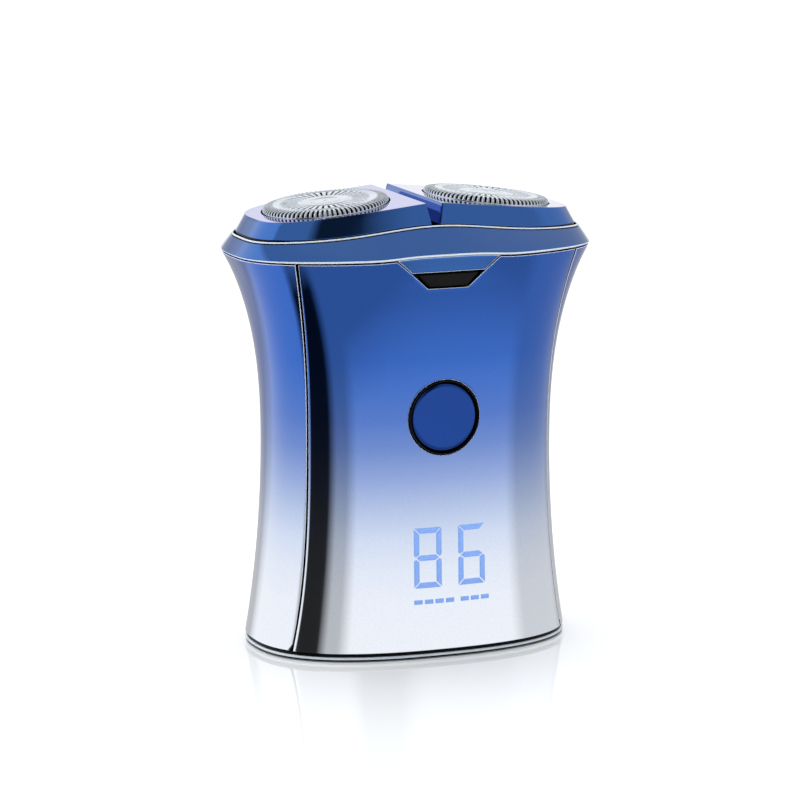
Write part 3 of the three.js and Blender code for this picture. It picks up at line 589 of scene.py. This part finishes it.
def base_skin():
    """The black foot: a rounded band whose bright edge is the separate bead with its painted highlight, and the
    underside with its socket and screw holes.
    """
    profile = [(1.1, 0.0), (0.72, 0.04), (0.5, 0.16), (0.44, 0.34), (0.62, 0.4), (0.66, 0.82), (0.66, 1.15), (1.3, 1.15)]
    a, b, n = half_width(0), half_depth(0), squareness(0)
    sheet = Sheet()
    count = 180
    rows = []
    for inset, z in profile:
        ring = arc(a - inset, b - inset, n, 0, 2 * math.pi, count, 2400)[:-1]
        rows.append([(x, y, z) for x, y in ring])
    sheet.patch(rows, closed=True)
    obj = sheet.build("base_foot", outward=(0, 0, 0.6))
    bm = bmesh.new()
    bm.from_mesh(obj.data)
    bm.verts.ensure_lookup_table()
    edges = [e for e in bm.edges if e.is_boundary and max(v.co.z for v in e.verts) < 0.0001]
    holes = [[(20 * side + 2.0 * math.cos(i * math.pi / 16), 2.0 * math.sin(i * math.pi / 16)) for i in range(32)] for side in (-1, 1)]
    slot = []
    for i in range(32):
        angle = math.pi * 2 * (i + 0.5) / 32
        centre = 2.87 if math.cos(angle) > 0 else -2.87
        slot.append((centre + 1.9 * math.cos(angle), 12.2 + 1.9 * math.sin(angle)))
    for outline in holes + [slot]:
        low = [bm.verts.new((x * MM, y * MM, 0)) for x, y in outline]
        high = [bm.verts.new((x * MM, y * MM, 1.1 * MM)) for x, y in outline]
        for i in range(len(outline)):
            j = (i + 1) % len(outline)
            edges.append(bm.edges.new((low[i], low[j])))
            bm.faces.new((low[i], low[j], high[j], high[i]))
    bmesh.ops.triangle_fill(bm, use_beauty=True, use_dissolve=False, edges=edges)
    bmesh.ops.recalc_face_normals(bm, faces=bm.faces)
    for f in bm.faces:
        f.smooth = len(f.verts) == 4
    bm.to_mesh(obj.data)
    bm.free()
    return obj


def foot_bead():
    """The bead round the black foot, painted pale all round: a painted highlight."""
    profile = [(0.66, 0.38), (0.4, 0.4), (0.26, 0.47), (0.2, 0.6), (0.26, 0.74), (0.4, 0.82), (0.66, 0.84), (0.66, 0.38)]
    a, b, n = half_width(0), half_depth(0), squareness(0)
    sheet = Sheet()
    sheet.patch([[(x, y, z) for x, y in arc(a - inset, b - inset, n, 0, 2 * math.pi, 200, 2400)[:-1]] for inset, z in profile], closed=True)
    return sheet.build("foot_bead", outward=(0, 0, 0.6))


def lug_outline(web, radius=HINGE_RADIUS):
    return hull([(round(y, 4), round(z, 4)) for y, z in web + circle(HINGE_Y, HINGE_Z, radius, 40)])


BODY_WEB = [(18.0, 60.8), (18.9, 60.8), (22.3, 67.2), (20.6, 67.75), (18.0, 67.6)]
HEAD_WEB = [(16.5, 68.3), (20.6, 68.1), (22.35, 68.5), (21.4, 69.6), (17.9, 70.2), (16.5, 70.2)]

front = dress(front_skin(), "shell_gradient", "body", ["front_shell"])
# Height below which the shells' edges are painted black: painted shade where they meet the foot.
PAINTED_SHADE_TOP = 2.2


def shell_edge_highlight_and_shade(x, y, z, index):
    """The shells' bevelled edges keep the pale painted highlight; near the foot they take the black finish, a painted
    shade where they meet it.
    """
    return 2 * index if z < PAINTED_SHADE_TOP else index


# Painted highlight on the shells' edges, painted shade at their foot.
painted(front, ["black_gloss"], shell_edge_highlight_and_shade)
rear = dress(rear_skin(), "shell_gradient", "body", ["rear_shell"])
painted(rear, ["black_gloss"], shell_edge_highlight_and_shade)
dress(base_skin(), "black_gloss", "body", ["base_plate"])
# The bead takes the pale finish: a painted highlight.
dress(foot_bead(), "painted_edge_highlight", "body")
for side, name in ((-1, "left"), (1, "right")):
    low, high = sorted((side * 4.9, side * 9.0))
    lug = bevel(prism_x(f"hinge_knuckle_{name}", lug_outline(BODY_WEB), low, high), 0.35, 3)
    dress(lug, "shell_gradient", "body")

# ---- head ----

FRAME_TOP = (30.1, 13.85, 3.2)
FRAME_OPENING = (29.6, 13.3, 3.2)
POD_FOOT = (29.3, 13.0, 3.2, 69.7)
POD_TOP = (27.7, 12.3, 3.3)
RING_POINTS = 220


def frame_top(x):
    return 70.75 + 1.85 * math.exp(-((x / 14) ** 2)) - 0.6 * end_drop(x)


def pod_top(x):
    return POD_CREST - POD_SLOPE * abs(x)


def ring_of(a, b, n, count=RING_POINTS):
    return arc(a, b, n, 0, 2 * math.pi, count, 2400)[:-1]


def between(p, q, t):
    return p + (q - p) * t


def head_ring():
    """The chamfered ring under the pods, with a lip at its foot and a bead round its ledge; lip and bead are painted
    pale as a painted highlight, and the groove under the bead black as painted shade.
    """
    rim = (RIM[1], RIM[2], 2.65)

    def low(x, y):
        return HEAD_BOTTOM + (rim_bump(x) if y < 0 else 0.0) - 0.4 * end_drop(x)

    def lip(x):
        return 0.34 - 0.14 * end_drop(x)

    def level(t):
        a, b, n = (between(p, q, t) for p, q in zip(rim, FRAME_TOP))
        return [(x, y, between(low(x, y) + lip(x), frame_top(x) - 0.1, t)) for x, y in ring_of(a, b, n)]

    def flat(inset, z, size=FRAME_TOP):
        return [(x, y, z(x, y)) for x, y in ring_of(size[0] - inset, size[1] - inset, size[2])]

    lip_rows = [
        flat(0.1, low, rim),
        flat(0.0, lambda x, y: low(x, y) + 0.08, rim),
        flat(0.0, lambda x, y: low(x, y) + lip(x) - 0.04, rim),
        level(0),
    ]
    ledge_rows = [
        flat(0.02, lambda x, y: frame_top(x) - 0.16),
        flat(0.14, lambda x, y: frame_top(x) - 0.16),
        flat(0.15, lambda x, y: frame_top(x) + 0.07),
        flat(0.17, lambda x, y: frame_top(x) + 0.19),
        flat(0.23, lambda x, y: frame_top(x) + 0.27),
        flat(0.34, lambda x, y: frame_top(x) + 0.28),
        flat(0.45, lambda x, y: frame_top(x) + 0.14),
    ]
    under = flat(1.2, low, rim)
    opening = flat(0, lambda x, y: HEAD_BOTTOM - 0.4 * end_drop(x), FRAME_OPENING)
    skin_rows = [level(t) for t in (0, 0.1, 0.25, 0.4, 0.55, 0.7, 0.85, 1)]
    rows = [opening, under] + lip_rows + skin_rows[1:] + ledge_rows + [flat(0, lambda x, y: 69.2, FRAME_OPENING), opening]
    sheet = Sheet()
    sheet.patch(rows, closed=True)
    obj = sheet.build("head_frame_skin", weld=0.002)
    cutters = []
    for side in (-1, 1):
        low_x, high_x = sorted((side * 4.65, side * 9.3))
        cutters.append(prism_x(f"room{side}", circle(HINGE_Y, HINGE_Z, HINGE_RADIUS + 0.3, 40), low_x, high_x))
    cut_away(obj, *cutters)
    # Painted highlight: the lip and the bead take the pale finish; painted shade: the groove under the bead takes the
    # black finish.
    for p in obj.data.polygons:
        x, y, z = (v / MM for v in p.center)
        at_rim = (abs(x) / RIM[1]) ** 2.65 + (abs(y) / RIM[2]) ** 2.65 > 0.97
        inside = (abs(x) / (FRAME_TOP[0] - 0.1)) ** 3.2 + (abs(y) / (FRAME_TOP[1] - 0.1)) ** 3.2 < 1
        if z < low(x, y) + lip(x) + 0.01 and abs(p.normal.z) < 0.9 and at_rim:
            p.material_index = 1
        elif inside and z > frame_top(x) - 0.2:
            p.material_index = 1 if z > frame_top(x) + 0.1 else 2
        else:
            p.material_index = 0
    obj.data.set_sharp_from_angle(angle=math.radians(32))
    return obj


def head_tongue():
    """The blue wedge of the head that fills the top of the latch notch."""
    sheet = Sheet()
    rows = []
    for i in range(11):
        t = i / 10
        z = between(TONGUE_FOOT, HEAD_BOTTOM - 0.08, t)
        half = notch_half(z) - between(0.5, 0.38, t)
        rows.append([(x, front_y(x, min(z, 67.9), 0.05), z + rim_bump(x) * t) for x in spaced(-half, half, 36)])
    sheet.patch(rows)
    # The tongue's rounded edges take the pale finish: a painted highlight.
    return bevel(solidify(sheet.build("head_tongue", outward=(0, 0, 66)), 1.3), 0.08, edge="painted_edge_highlight")


def release_plate():
    """The latch button: a slightly crowned trapezoid plate."""
    sheet = Sheet()
    low, high = 63.42, 65.6
    rows = []
    for i in range(11):
        t = i / 10
        z = between(low, high, t)
        half = between(3.42, 5.55, t)
        rows.append([(x, -18.75 - 0.12 * (1 - (x / half) ** 2) + 0.2 * (t - 0.5) ** 2, z) for x in spaced(-half, half, 24)])
    sheet.patch(rows)
    return bevel(solidify(sheet.build("release_plate", outward=(0, 0, 64)), 0.9), 0.24, 3)


def pod_cover(side):
    """One pod: sloping walls around a straight inner side, a flat sloping top and the foil's bore."""
    outer, inner_count = 150, 36

    def inner_x(z):
        return between(0.7, 1.45, min(1.0, max(0.0, (z - 72.6) / 3.8)))

    def loop(t, low=None):
        """A level of the wall: t runs from its start above the head frame to the top edge."""
        a, b, n = (between(p, q, max(t, 0)) for p, q in zip(POD_FOOT[:3], POD_TOP))
        inner = inner_x(between(72.6, 76.4, max(t, 0)))
        start = phi_at_x(inner, a, n)
        ring = arc(a, b, n, start, math.pi - start, outer, 2000)
        first, last = ring[0], ring[-1]
        ring += [(inner, between(last[1], first[1], i / inner_count)) for i in range(1, inner_count)]
        if low is not None:
            return [(x, y, low) for x, y in ring]
        return [(x, y, between(frame_top(x) + 0.4 + 0.3 * end_drop(x), pod_top(x), t)) for x, y in ring]

    rows = [loop(0, POD_FOOT[3])] + [loop(t) for t in (0, 0.015, 0.05, 0.2, 0.4, 0.6, 0.8, 1)]
    top = rows[-1]
    centre = (FOIL_X, 0.0, FOIL_Z)
    bore = []
    for x, y, z in top:
        angle = math.atan2(y, (x - centre[0]) / math.cos(TILT))
        r = FOIL_BORE
        bore.append((centre[0] + r * math.cos(angle) * math.cos(TILT), r * math.sin(angle), centre[2] - r * math.cos(angle) * math.sin(TILT)))
    for t in (0.04, 0.25, 0.5, 0.75, 0.93, 1):
        rows.append([tuple(between(p, q, t) for p, q in zip(u, v)) for u, v in zip(top, bore)])

    def along(points, depth):
        return [(x - depth * math.sin(TILT), y, z - depth * math.cos(TILT)) for x, y, z in points]

    def shrunk(points, amount):
        k = 1 - amount / FOIL_BORE
        return [tuple(c + (p - c) * k for p, c in zip(q, centre)) for q in points]

    rows += [along(bore, 0.9), along(shrunk(bore, -0.4), 1.1)]
    sheet = Sheet()
    sheet.patch([[(side * x, y, z) for x, y, z in row] for row in rows], closed=True)
    obj = sheet.build(f"pod_skin_{'left' if side < 0 else 'right'}", outward=(side * FOIL_X, 0, 60))
    solidify(obj, 0.3)
    return bevel(obj, 0.08, 2, 30)


ring = dress(head_ring(), "head_blue", "head", ["head_frame"])
# The head ring's second finish is the pale painted highlight, its third the black painted shade in the groove.
for finish in ("painted_edge_highlight", "black_gloss"):
    ring.data.materials.append(materials[finish])
dress(head_tongue(), "head_blue", "head")
head_lug = bevel(prism_x("hinge_knuckle_middle", lug_outline(HEAD_WEB), -4.6, 4.6), 0.35, 3)
dress(head_lug, "head_blue", "head")
dress(release_plate(), "black_gloss", "release_key", ["release_button"])
for side, name in ((-1, "left"), (1, "right")):
    pod = dress(pod_cover(side), "pod_blue", f"{name}_pod", [f"pod_cover_{name}"])
    # The pod wall's foot band, just above the head frame, is painted black: painted shade in the gap between pod and
    # frame.
    painted(pod, ["black_gloss"], lambda x, y, z, index: int(z < frame_top(x) + 0.32 + 0.3 * end_drop(x)))


# ---- foils ----

SLOTS = 80


def foil(side):
    """A pressed steel cap: fine slots over the rim, a smooth groove, and an inner slotted ring."""
    profile = [
        (10.68, -1.2, False),
        (10.68, 0.08, False),
        (10.67, 0.14, True),
        (10.64, 0.42, True),
        (10.52, 0.66, True),
        (10.28, 0.84, True),
        (9.9, 0.93, True),
        (9.4, 0.97, True),
        (8.9, 0.98, False),
        (8.6, 0.96, False),
        (8.45, 0.88, False),
        (8.2, 0.84, False),
        (7.95, 0.88, False),
        (7.8, 0.96, False),
        (7.5, 0.98, True),
        (6.2, 0.98, True),
        (5.0, 0.97, True),
        (4.7, 0.93, False),
        (4.5, 0.86, False),
        (4.3, 0.86, False),
        (4.15, 0.95, False),
        (4.0, 0.99, False),
        (2.6, 1.0, False),
        (2.4, 0.9, False),
        (2.0, 0.86, False),
        (0.5, 0.95, False),
        (0.02, 0.95, False),
    ]
    columns = SLOTS * 3
    points = []
    for r, h, _ in profile:
        for c in range(columns):
            slot_index, part = divmod(c, 3)
            angle = 2 * math.pi * (slot_index + (0.0, 0.25, 0.5)[part]) / SLOTS
            points.append((r * math.cos(angle), r * math.sin(angle), h))
    faces = []
    for i in range(len(profile) - 1):
        open_row = profile[i][2]
        for c in range(columns):
            slot_index, part = divmod(c, 3)
            wide = profile[i][0] < 8
            if open_row and (part == 2 or (wide and part == 1)) and not (wide and slot_index % 2):
                continue
            d = (c + 1) % columns
            faces.append((i * columns + c, i * columns + d, (i + 1) * columns + d, (i + 1) * columns + c))
    place = Matrix.Translation((side * FOIL_X, 0, FOIL_Z)) @ Matrix.Rotation(side * TILT, 4, "Y")
    sheet = Sheet()
    sheet.points = [tuple(place @ Vector(p)) for p in points]
    sheet.faces = faces
    name = "left" if side < 0 else "right"
    obj = sheet.build(f"foil_mesh_{name}", weld=0.001)
    top = [p for p in obj.data.polygons if p.center.z > 0.0745]
    if sum(p.normal.z for p in top) < 0:
        obj.data.flip_normals()
    m = obj.modifiers.new("wall", "SOLIDIFY")
    m.thickness = 0.13 * MM
    m.offset = -1
    return obj


for side, name in ((-1, "left"), (1, "right")):
    dress(foil(side), "foil_steel", f"{name}_pod", [f"foil_{name}"])


# ---- power button and display ----

BUTTON_PLACE = Matrix.Translation((0, 0, BUTTON_Z)) @ Matrix.Rotation(math.radians(90), 4, "X")

ring_profile = [(6.04, 15.0), (6.04, 17.35), (6.08, 17.5), (6.15, 17.58), (6.23, 17.57), (6.3, 17.44), (6.34, 17.1), (6.34, 15.0), (6.04, 15.0)]
dress(lathe(ring_profile, 120, "power_ring", BUTTON_PLACE), "black_gloss", "body", ["power_button_ring"])
dish_profile = [(0.0, 17.26), (2.0, 17.28), (3.6, 17.33), (4.6, 17.37), (5.0, 17.375), (5.3, 17.35), (5.52, 17.29), (5.7, 17.2), (5.83, 17.07), (5.92, 16.9), (5.96, 16.7), (5.96, 15.6), (0.0, 15.6)]
dress(lathe(dish_profile, 120, "power_dish", BUTTON_PLACE), "button_blue", "power_key", ["power_button"])

DIGIT_WIDTH = 4.95
DIGIT_LOW = 12.15
DIGIT_HIGH = 22.4
STROKE = 0.95
CUT = 0.14


def digit_segments(left, names):
    """Seven-segment strokes as polygons of (x, z), with slanted ends and thin gaps."""
    x0, x1 = left, left + DIGIT_WIDTH
    z0, z2 = DIGIT_LOW, DIGIT_HIGH
    z1 = (z0 + z2) / 2
    s, g = STROKE, CUT
    h = s / 2
    shapes = {
        "top": [(x0 + g, z2), (x1 - g, z2), (x1 - s - g, z2 - s), (x0 + s + g, z2 - s)],
        "bottom": [(x0 + g, z0), (x1 - g, z0), (x1 - s - g, z0 + s), (x0 + s + g, z0 + s)],
        "middle": [(x0 + h * 0.7 + g, z1), (x0 + s + g, z1 + h), (x1 - s - g, z1 + h), (x1 - h * 0.7 - g, z1), (x1 - s - g, z1 - h), (x0 + s + g, z1 - h)],
        "high_left": [(x0, z2 - g), (x0 + s, z2 - s - g), (x0 + s, z1 + h + g), (x0 + h * 0.7, z1 + g * 1.4), (x0, z1 + h)],
        "low_left": [(x0, z0 + g), (x0 + s, z0 + s + g), (x0 + s, z1 - h - g), (x0 + h * 0.7, z1 - g * 1.4), (x0, z1 - h)],
        "high_right": [(x1, z2 - g), (x1 - s, z2 - s - g), (x1 - s, z1 + h + g), (x1 - h * 0.7, z1 + g * 1.4), (x1, z1 + h)],
        "low_right": [(x1, z0 + g), (x1 - s, z0 + s + g), (x1 - s, z1 - h - g), (x1 - h * 0.7, z1 - g * 1.4), (x1, z1 - h)],
    }
    return [shapes[n] for n in names]


def inlay(name, outlines):
    """Thin plates that follow the front surface, from flat outlines cut into small faces."""
    bm = bmesh.new()
    for outline in outlines:
        bm.faces.new([bm.verts.new((x * MM, 0, z * MM)) for x, z in outline])
    for axis, low, high, step in ((0, -8.0, 9.0, 0.5), (2, 9.0, 23.0, 1.0)):
        normal = [0, 0, 0]
        normal[axis] = 1
        at = low
        while at < high:
            spot = [0, 0, 0]
            spot[axis] = at * MM
            bmesh.ops.bisect_plane(bm, geom=bm.verts[:] + bm.edges[:] + bm.faces[:], dist=1e-7, plane_co=spot, plane_no=normal)
            at += step
    for v in bm.verts:
        v.co.y = (front_y(v.co.x / MM, v.co.z / MM) - 0.03) * MM
    bm.normal_update()
    for f in bm.faces:
        if f.normal.y > 0:
            f.normal_flip()
        f.smooth = True
    mesh = bpy.data.meshes.new(name)
    bm.to_mesh(mesh)
    bm.free()
    obj = bpy.data.objects.new(name, mesh)
    bpy.context.scene.collection.objects.link(obj)
    return solidify(obj, 0.12)


ALL = ["top", "bottom", "middle", "high_left", "low_left", "high_right", "low_right"]
dress(inlay("digit_tens", digit_segments(-5.45, ALL)), "display_lit", "body")
dress(inlay("digit_units", digit_segments(2.55, [n for n in ALL if n != "high_right"])), "display_lit", "body")
bars = [[(x0, 9.4), (x1, 9.4), (x1, 10.15), (x0, 10.15)] for x0, x1 in ((-5.5, -4.0), (-3.6, -2.1), (-1.7, -0.2), (0.2, 1.7), (2.9, 4.4), (4.8, 6.3), (6.7, 8.2))]
dress(inlay("charge_bars", bars), "display_lit", "body")

# ---- carried-over CAD nodes ----

for row in frame["record"]["subparts"]:
    obj = frame["nodes"][row["node"]]
    obj.data.materials.clear()
    obj.data.materials.append(materials[row["material_slot"]])

# ---- camera ----

AZIMUTH = math.radians(22.2)
ELEVATION = math.radians(11.12)
DISTANCE = 0.75
forward = Vector((math.sin(AZIMUTH) * math.cos(ELEVATION), math.cos(AZIMUTH) * math.cos(ELEVATION), -math.sin(ELEVATION)))
camera_data = bpy.data.cameras.new("camera")
camera_data.lens = 197.8
camera_data.sensor_width = 36
camera_data.shift_x = -0.00675
camera_data.shift_y = 0.0206
camera = bpy.data.objects.new("camera", camera_data)
camera.matrix_world = Matrix.Translation(Vector((0, 0, 0.038)) - forward * DISTANCE) @ forward.to_track_quat("-Z", "Y").to_matrix().to_4x4() @ Matrix.Rotation(math.radians(0.2), 4, "Z")
bpy.context.scene.collection.objects.link(camera)
bpy.context.scene.camera = camera
bpy.context.scene.view_settings.view_transform = "Standard"

# ---- floor, backdrop and light ----


def floor():
    sheet = Sheet()
    reach = 3000
    steps = spaced(-reach, reach, 8)
    sheet.patch([[(x, y, 0) for x in steps] for y in steps])
    obj = sheet.build("floor")
    if obj.data.polygons[0].normal.z < 0:
        obj.data.flip_normals()
    m, tree, bsdf = new_material("floor_gloss")
    bsdf.inputs["Base Color"].default_value = (0.93, 0.95, 0.97, 1)
    bsdf.inputs["IOR"].default_value = 1.5
    coord = node(tree, "ShaderNodeTexCoord")
    length = node(tree, "ShaderNodeVectorMath", operation="LENGTH")
    tree.links.new(coord.outputs["Object"], length.inputs[0])
    tree.links.new(ranged(tree, length.outputs["Value"], 0.46, 0.02, 0.03, 0.2), bsdf.inputs["Specular IOR Level"])
    tree.links.new(ranged(tree, length.outputs["Value"], 0.01, 0.06, 0.02, 0.3), bsdf.inputs["Roughness"])
    obj.data.materials.append(m)
    obj.visible_glossy = False
    return obj


def backdrop():
    sheet = Sheet()
    rows = []
    for i in range(25):
        lat = math.radians(-89 + 178 * i / 24)
        rows.append([(4000 * math.cos(lat) * math.cos(k * math.pi / 24), 4000 * math.cos(lat) * math.sin(k * math.pi / 24), 4000 * math.sin(lat)) for k in range(48)])
    sheet.patch(rows, closed=True)
    obj = sheet.build("backdrop")
    m, tree, bsdf = new_material("backdrop_white")
    emission = node(tree, "ShaderNodeEmission")
    emission.inputs["Color"].default_value = (1, 1, 1, 1)
    tree.links.new(emission.outputs[0], tree.nodes["Material Output"].inputs["Surface"])
    obj.data.materials.append(m)
    for kind in ("visible_glossy", "visible_diffuse", "visible_shadow", "visible_transmission"):
        setattr(obj, kind, False)
    return obj


# The studio round the object, in degrees: azimuth is 0 at the front and turns towards +X, height is 0 at
# the horizon. Each entry gives where it starts and ends in azimuth, then in height, then its brightness.
ROOM = 0.55
SOFT_EDGE = 10
STUDIO = {
    "left_box": (-155, -85, -90, 40, 1.0),
    "front_box": (-20, 60, -15, 0, 1.0),
    "right_box": (60, 110, -90, 40, 0.7),
    "rear_box": (145, 175, 0, 30, 1.0),
    "left_flag": (-75, -50, -40, 15, 0.02),
    "front_flag": (-10, 10, 15, 45, 0.05),
}


def between_angles(tree, angle, low, high):
    """1 from low to high, fading to 0 over the soft edge outside them."""
    rise = ranged(tree, angle, 0, 1, low - SOFT_EDGE, low)
    fall = ranged(tree, angle, 1, 0, high, high + SOFT_EDGE)
    return math_node(tree, "MULTIPLY", rise, fall)


def studio_world():
    """A plain grey room with a few large white soft boxes and two black flags."""
    world = bpy.data.worlds.new("studio")
    bpy.context.scene.world = world
    world.use_nodes = True
    tree = world.node_tree
    background = tree.nodes["Background"]
    coord = node(tree, "ShaderNodeTexCoord")
    split = node(tree, "ShaderNodeSeparateXYZ")
    tree.links.new(coord.outputs["Generated"], split.inputs[0])
    east, north, up = split.outputs
    back = math_node(tree, "MULTIPLY", north, -1.0)
    degrees = 180 / math.pi
    turn = math_node(tree, "MULTIPLY", math_node(tree, "ARCTAN2", east, back), degrees)
    height = math_node(tree, "MULTIPLY", math_node(tree, "ARCSINE", up), degrees)
    light = (ROOM, ROOM, ROOM)
    for left, right, low, high, brightness in STUDIO.values():
        across = between_angles(tree, turn, left, right)
        upward = between_angles(tree, height, low, high)
        part = math_node(tree, "MULTIPLY", across, upward)
        light = mixed(tree, part, light, (brightness, brightness, brightness))
    tree.links.new(light, background.inputs["Color"])
    background.inputs["Strength"].default_value = 1.0


def area(name, location, target, size, watts, glossy=False):
    data = bpy.data.lights.new(name, "AREA")
    data.shape = "DISK"
    data.size = size
    data.energy = watts
    obj = bpy.data.objects.new(name, data)
    obj.location = location
    obj.rotation_euler = (Vector(target) - Vector(location)).to_track_quat("-Z", "Y").to_euler()
    obj.visible_glossy = glossy
    bpy.context.scene.collection.objects.link(obj)
    return obj


ground = floor()
sky = backdrop()
studio_world()
area("top_light", (0.0, 0.3, 2.4), (0, 0.2, 0), 3.0, 64)
